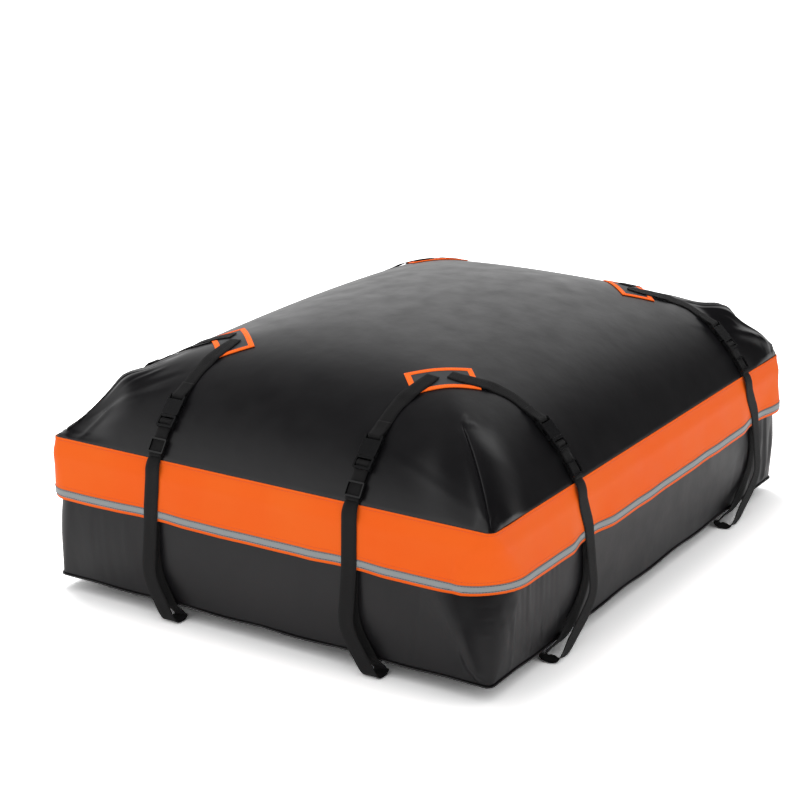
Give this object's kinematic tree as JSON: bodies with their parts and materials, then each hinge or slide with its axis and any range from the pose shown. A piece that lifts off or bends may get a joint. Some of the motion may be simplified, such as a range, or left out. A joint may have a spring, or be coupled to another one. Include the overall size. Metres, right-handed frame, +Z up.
{
  "type": "roof cargo bag",
  "caption": "Soft weatherproof roof cargo bag, packed full, with a domed lid, a storm flap over its zip and clipped tie-down straps.",
  "frame": {"origin": "middle of the base, on the ground", "axes": "+Z up, +Y along the long side, the short end with the zip slider faces -Y"},
  "size_m": [0.9079, 1.1663, 0.4695],
  "materials": {
    "black_sheet": "black PVC-coated polyester with a soft shine",
    "orange_sheet": "orange PVC-coated polyester",
    "grey_tape": "grey reflective tape",
    "black_webbing": "woven black polyester webbing",
    "black_plastic": "moulded black acetal",
    "zip_metal": "black nickel-plated die-cast zinc"
  },
  "bodies": {
    "bag": {"base_tub": "black_sheet", "top_cover": "black_sheet", "zip_flap": "orange_sheet", "reflective_tape": "grey_tape", "zip_chain": "black_webbing", "corner_patch_front_left": "black_sheet", "corner_patch_front_right": "black_sheet", "corner_patch_back_left": "black_sheet", "corner_patch_back_right": "black_sheet", "upper_strap_front_left": "black_webbing", "loop_strap_front_left": "black_webbing", "buckle_housing_front_left": "black_plastic", "upper_strap_front_right": "black_webbing", "loop_strap_front_right": "black_webbing", "buckle_housing_front_right": "black_plastic", "upper_strap_right_front": "black_webbing", "loop_strap_right_front": "black_webbing", "buckle_housing_right_front": "black_plastic", "upper_strap_right_rear": "black_webbing", "loop_strap_right_rear": "black_webbing", "buckle_housing_right_rear": "black_plastic", "upper_strap_back_right": "black_webbing", "loop_strap_back_right": "black_webbing", "buckle_housing_back_right": "black_plastic", "upper_strap_back_left": "black_webbing", "loop_strap_back_left": "black_webbing", "buckle_housing_back_left": "black_plastic", "upper_strap_left_rear": "black_webbing", "loop_strap_left_rear": "black_webbing", "buckle_housing_left_rear": "black_plastic", "upper_strap_left_front": "black_webbing", "loop_strap_left_front": "black_webbing", "buckle_housing_left_front": "black_plastic"},
    "clip_front_left": {"buckle_plug_front_left": "black_plastic", "adjuster_web_front_left": "black_webbing"},
    "glide_front_left": {"tri_glide_front_left": "black_plastic"},
    "clip_front_right": {"buckle_plug_front_right": "black_plastic", "adjuster_web_front_right": "black_webbing"},
    "glide_front_right": {"tri_glide_front_right": "black_plastic"},
    "clip_right_front": {"buckle_plug_right_front": "black_plastic", "adjuster_web_right_front": "black_webbing"},
    "glide_right_front": {"tri_glide_right_front": "black_plastic"},
    "clip_right_rear": {"buckle_plug_right_rear": "black_plastic", "adjuster_web_right_rear": "black_webbing"},
    "glide_right_rear": {"tri_glide_right_rear": "black_plastic"},
    "clip_back_right": {"buckle_plug_back_right": "black_plastic", "adjuster_web_back_right": "black_webbing"},
    "glide_back_right": {"tri_glide_back_right": "black_plastic"},
    "clip_back_left": {"buckle_plug_back_left": "black_plastic", "adjuster_web_back_left": "black_webbing"},
    "glide_back_left": {"tri_glide_back_left": "black_plastic"},
    "clip_left_rear": {"buckle_plug_left_rear": "black_plastic", "adjuster_web_left_rear": "black_webbing"},
    "glide_left_rear": {"tri_glide_left_rear": "black_plastic"},
    "clip_left_front": {"buckle_plug_left_front": "black_plastic", "adjuster_web_left_front": "black_webbing"},
    "glide_left_front": {"tri_glide_left_front": "black_plastic"},
    "zip_slider": {"zip_slider": "zip_metal"},
    "zip_pull": {"zip_pull": "zip_metal"}
  },
  "joints": [
    {"name": "release_front_left", "type": "slide", "parent": "bag", "child": "clip_front_left", "axis": [0, -0.6989, -0.7152], "range_m": [0, 0.026]},
    {"name": "adjust_front_left", "type": "slide", "parent": "clip_front_left", "child": "glide_front_left", "axis": [0, -0.5539, -0.8326], "range_m": [-0.012, 0.004]},
    {"name": "release_front_right", "type": "slide", "parent": "bag", "child": "clip_front_right", "axis": [0, -0.6962, -0.7179], "range_m": [0, 0.026]},
    {"name": "adjust_front_right", "type": "slide", "parent": "clip_front_right", "child": "glide_front_right", "axis": [0, -0.5518, -0.8339], "range_m": [-0.012, 0.004]},
    {"name": "release_right_front", "type": "slide", "parent": "bag", "child": "clip_right_front", "axis": [0.691, 0, -0.7228], "range_m": [0, 0.026]},
    {"name": "adjust_right_front", "type": "slide", "parent": "clip_right_front", "child": "glide_right_front", "axis": [0.5471, 0, -0.8371], "range_m": [-0.012, 0.004]},
    {"name": "release_right_rear", "type": "slide", "parent": "bag", "child": "clip_right_rear", "axis": [0.7057, 0, -0.7085], "range_m": [0, 0.026]},
    {"name": "adjust_right_rear", "type": "slide", "parent": "clip_right_rear", "child": "glide_right_rear", "axis": [0.5581, 0, -0.8298], "range_m": [-0.012, 0.004]},
    {"name": "release_back_right", "type": "slide", "parent": "bag", "child": "clip_back_right", "axis": [0, 0.6969, -0.7171], "range_m": [0, 0.026]},
    {"name": "adjust_back_right", "type": "slide", "parent": "clip_back_right", "child": "glide_back_right", "axis": [0, 0.5524, -0.8336], "range_m": [-0.012, 0.004]},
    {"name": "release_back_left", "type": "slide", "parent": "bag", "child": "clip_back_left", "axis": [0, 0.6973, -0.7167], "range_m": [0, 0.026]},
    {"name": "adjust_back_left", "type": "slide", "parent": "clip_back_left", "child": "glide_back_left", "axis": [0, 0.5527, -0.8334], "range_m": [-0.012, 0.004]},
    {"name": "release_left_rear", "type": "slide", "parent": "bag", "child": "clip_left_rear", "axis": [-0.6939, 0, -0.7201], "range_m": [0, 0.026]},
    {"name": "adjust_left_rear", "type": "slide", "parent": "clip_left_rear", "child": "glide_left_rear", "axis": [-0.5493, 0, -0.8356], "range_m": [-0.012, 0.004]},
    {"name": "release_left_front", "type": "slide", "parent": "bag", "child": "clip_left_front", "axis": [-0.701, 0, -0.7131], "range_m": [0, 0.026]},
    {"name": "adjust_left_front", "type": "slide", "parent": "clip_left_front", "child": "glide_left_front", "axis": [-0.5547, 0, -0.8321], "range_m": [-0.012, 0.004]},
    {"name": "zip_slide", "type": "slide", "parent": "bag", "child": "zip_slider", "axis": [1, 0, 0], "range_m": [0, 0.6], "deforming": ["zip_chain"]},
    {"name": "pull_swing", "type": "hinge", "parent": "zip_slider", "child": "zip_pull", "pos_m": [-0.292, -0.5627, 0.243], "axis": [0, 0, 1], "range_deg": [0, 8]}
  ]
}
